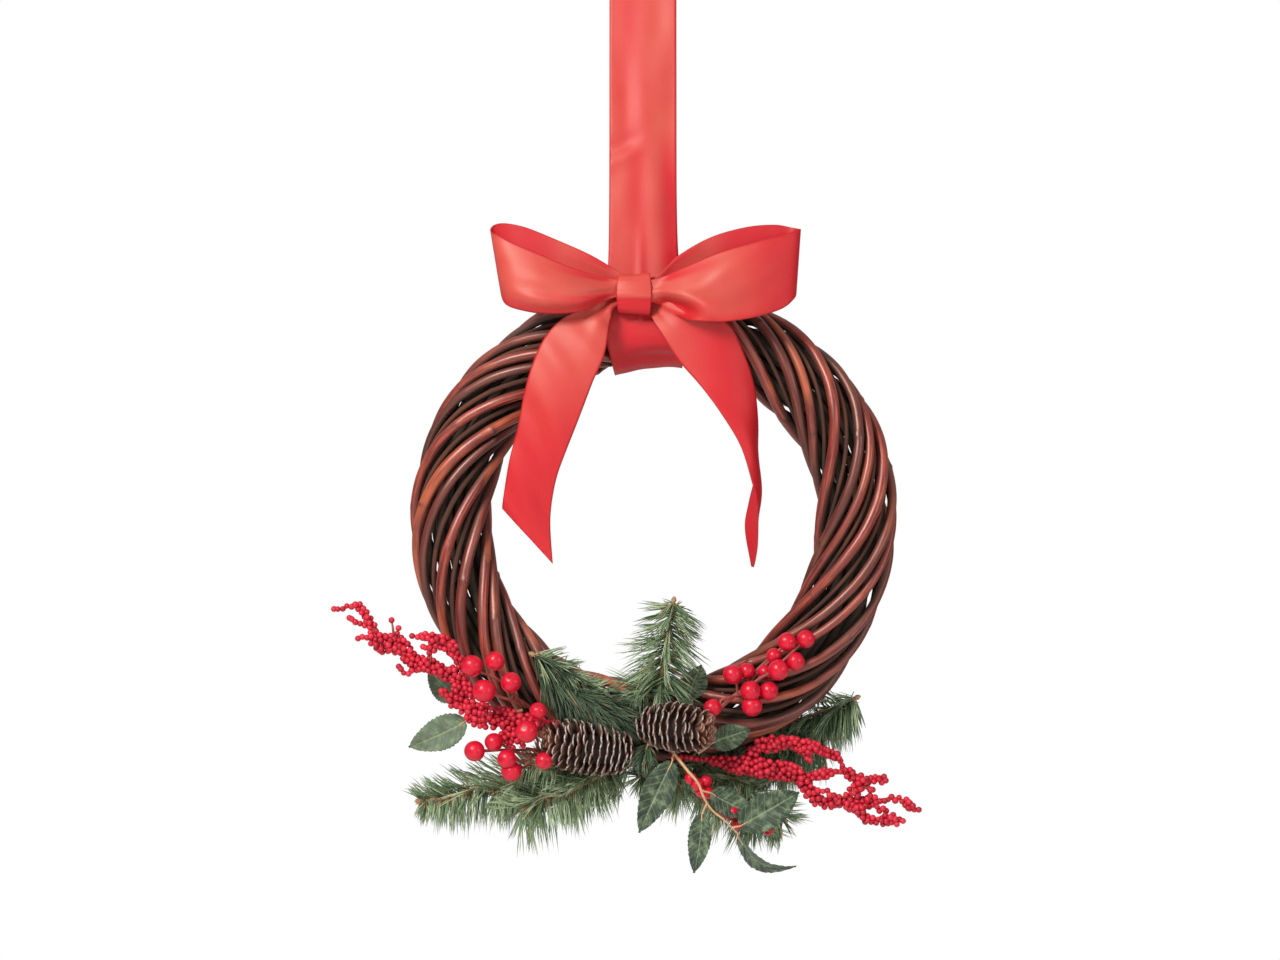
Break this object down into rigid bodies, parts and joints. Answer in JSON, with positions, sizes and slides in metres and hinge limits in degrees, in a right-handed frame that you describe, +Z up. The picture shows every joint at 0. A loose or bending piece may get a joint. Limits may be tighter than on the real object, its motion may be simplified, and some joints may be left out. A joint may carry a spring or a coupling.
{
  "type": "wicker christmas wreath",
  "caption": "Round wreath of wound willow rods on a ribbon loop, with a satin bow at the top and fir, berries, leaves and cones at the bottom.",
  "frame": {"origin": "the top of the hanging ribbon's loop, on the inside, where it rests on its hook", "axes": "+Z up along the hanging ribbon, +Y from the decorated front to the back, +X to the viewer's right"},
  "size_m": [0.3677, 0.1032, 0.5567],
  "materials": {
    "willow": "reddish brown bark, oiled",
    "satin": "satin weave, soft sheen",
    "cone_scale": "dry scales, frosted edges",
    "red_berry": "lacquered",
    "leaf_green": "matte, pale veins",
    "fir_green": "matte needles"
  },
  "bodies": {
    "root": {"rod_outer_01": "willow", "rod_outer_02": "willow", "rod_outer_03": "willow", "rod_outer_04": "willow", "rod_outer_05": "willow", "rod_outer_06": "willow", "rod_outer_07": "willow", "rod_outer_08": "willow", "rod_outer_09": "willow", "rod_outer_10": "willow", "rod_middle_1": "willow", "rod_middle_2": "willow", "rod_middle_3": "willow", "rod_middle_4": "willow", "rod_middle_5": "willow", "rod_middle_6": "willow", "rod_core_1": "willow", "rod_core_2": "willow", "hanging_ribbon": "satin", "bow_band": "satin", "bow_tails": "satin", "bow_loops": "satin", "cone_left": "cone_scale", "cone_right": "cone_scale", "berries_left_upper": "red_berry", "berries_left_lower": "red_berry", "berries_right": "red_berry", "berries_centre": "red_berry", "berry_spray_left": "red_berry", "berry_spray_right": "red_berry", "leaf_sprig": "leaf_green", "leaf_left_low": "leaf_green", "leaf_left_high": "leaf_green", "leaf_right": "leaf_green", "leaf_top": "leaf_green", "fir_up": "fir_green", "fir_inner_left": "fir_green", "fir_left": "fir_green", "fir_right_back": "fir_green", "fir_right_low": "fir_green"}
  },
  "joints": []
}
